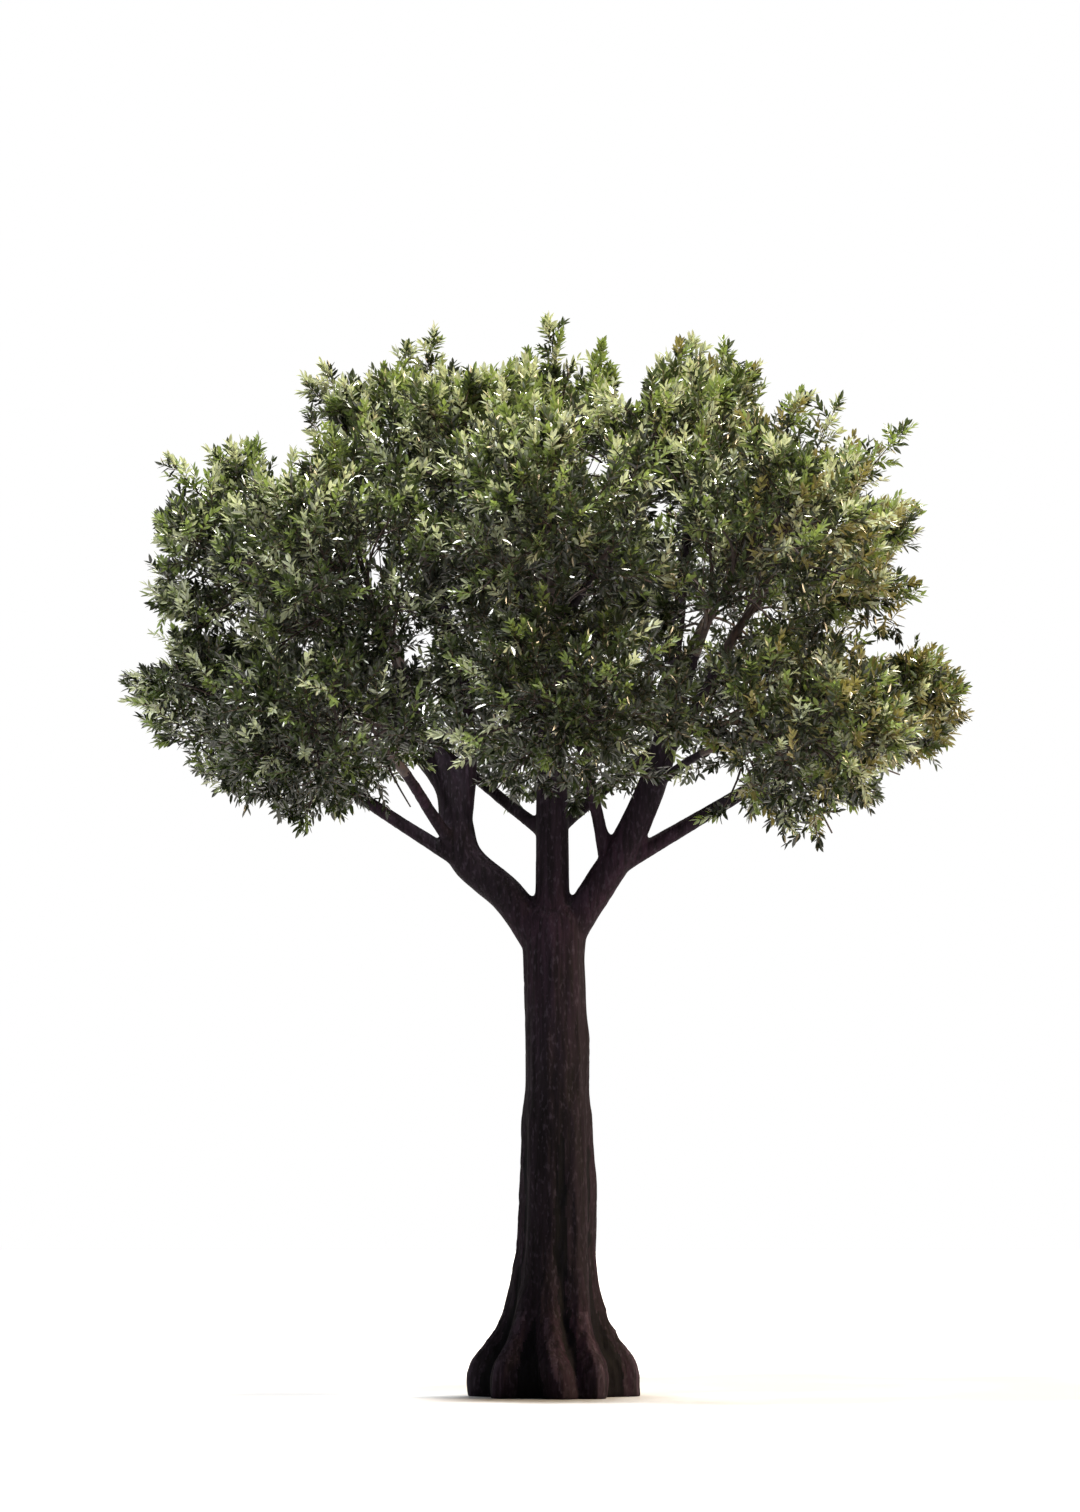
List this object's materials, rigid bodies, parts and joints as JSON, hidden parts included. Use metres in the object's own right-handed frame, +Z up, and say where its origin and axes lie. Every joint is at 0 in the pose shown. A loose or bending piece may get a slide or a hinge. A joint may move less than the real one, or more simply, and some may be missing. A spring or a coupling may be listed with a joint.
{
  "type": "olive tree",
  "caption": "Whole olive tree: a straight, fluted trunk on a spreading root flare forks into slanting limbs that carry a broad, dense, domed crown of small narrow leaves.",
  "frame": {"origin": "centre of the trunk's flat cut at ground level", "axes": "+Z up along the trunk, +X to the right and +Y away in the front view"},
  "size_m": [4.26, 4.092, 5.435],
  "materials": {
    "bark": "rough",
    "foliage": "semi-gloss leaves"
  },
  "bodies": {
    "root": {"trunk": "bark", "limb_centre": "bark", "limb_left_lower": "bark", "limb_left_upper": "bark", "limb_right_lower": "bark", "limb_right_upper": "bark", "bough_heart_centre": "bark", "bough_shoulder_back": "bark", "bough_shoulder_front": "bark", "bough_shoulder_left": "bark", "bough_shoulder_left_back": "bark", "bough_shoulder_left_front": "bark", "bough_shoulder_right": "bark", "bough_shoulder_right_back": "bark", "bough_shoulder_right_front": "bark", "bough_skirt_back": "bark", "bough_skirt_front": "bark", "bough_skirt_left": "bark", "bough_skirt_left_back": "bark", "bough_skirt_left_front": "bark", "bough_skirt_right": "bark", "bough_skirt_right_back": "bark", "bough_skirt_right_front": "bark", "bough_top_centre": "bark", "bough_upper_back": "bark", "bough_upper_left": "bark", "bough_upper_left_front": "bark", "bough_upper_right": "bark", "bough_upper_right_front": "bark", "foliage_heart_centre": "foliage", "foliage_shoulder_back": "foliage", "foliage_shoulder_front": "foliage", "foliage_shoulder_left": "foliage", "foliage_shoulder_left_back": "foliage", "foliage_shoulder_left_front": "foliage", "foliage_shoulder_right": "foliage", "foliage_shoulder_right_back": "foliage", "foliage_shoulder_right_front": "foliage", "foliage_skirt_back": "foliage", "foliage_skirt_front": "foliage", "foliage_skirt_left": "foliage", "foliage_skirt_left_back": "foliage", "foliage_skirt_left_front": "foliage", "foliage_skirt_right": "foliage", "foliage_skirt_right_back": "foliage", "foliage_skirt_right_front": "foliage", "foliage_top_centre": "foliage", "foliage_upper_back": "foliage", "foliage_upper_left": "foliage", "foliage_upper_left_front": "foliage", "foliage_upper_right": "foliage", "foliage_upper_right_front": "foliage"}
  },
  "joints": []
}
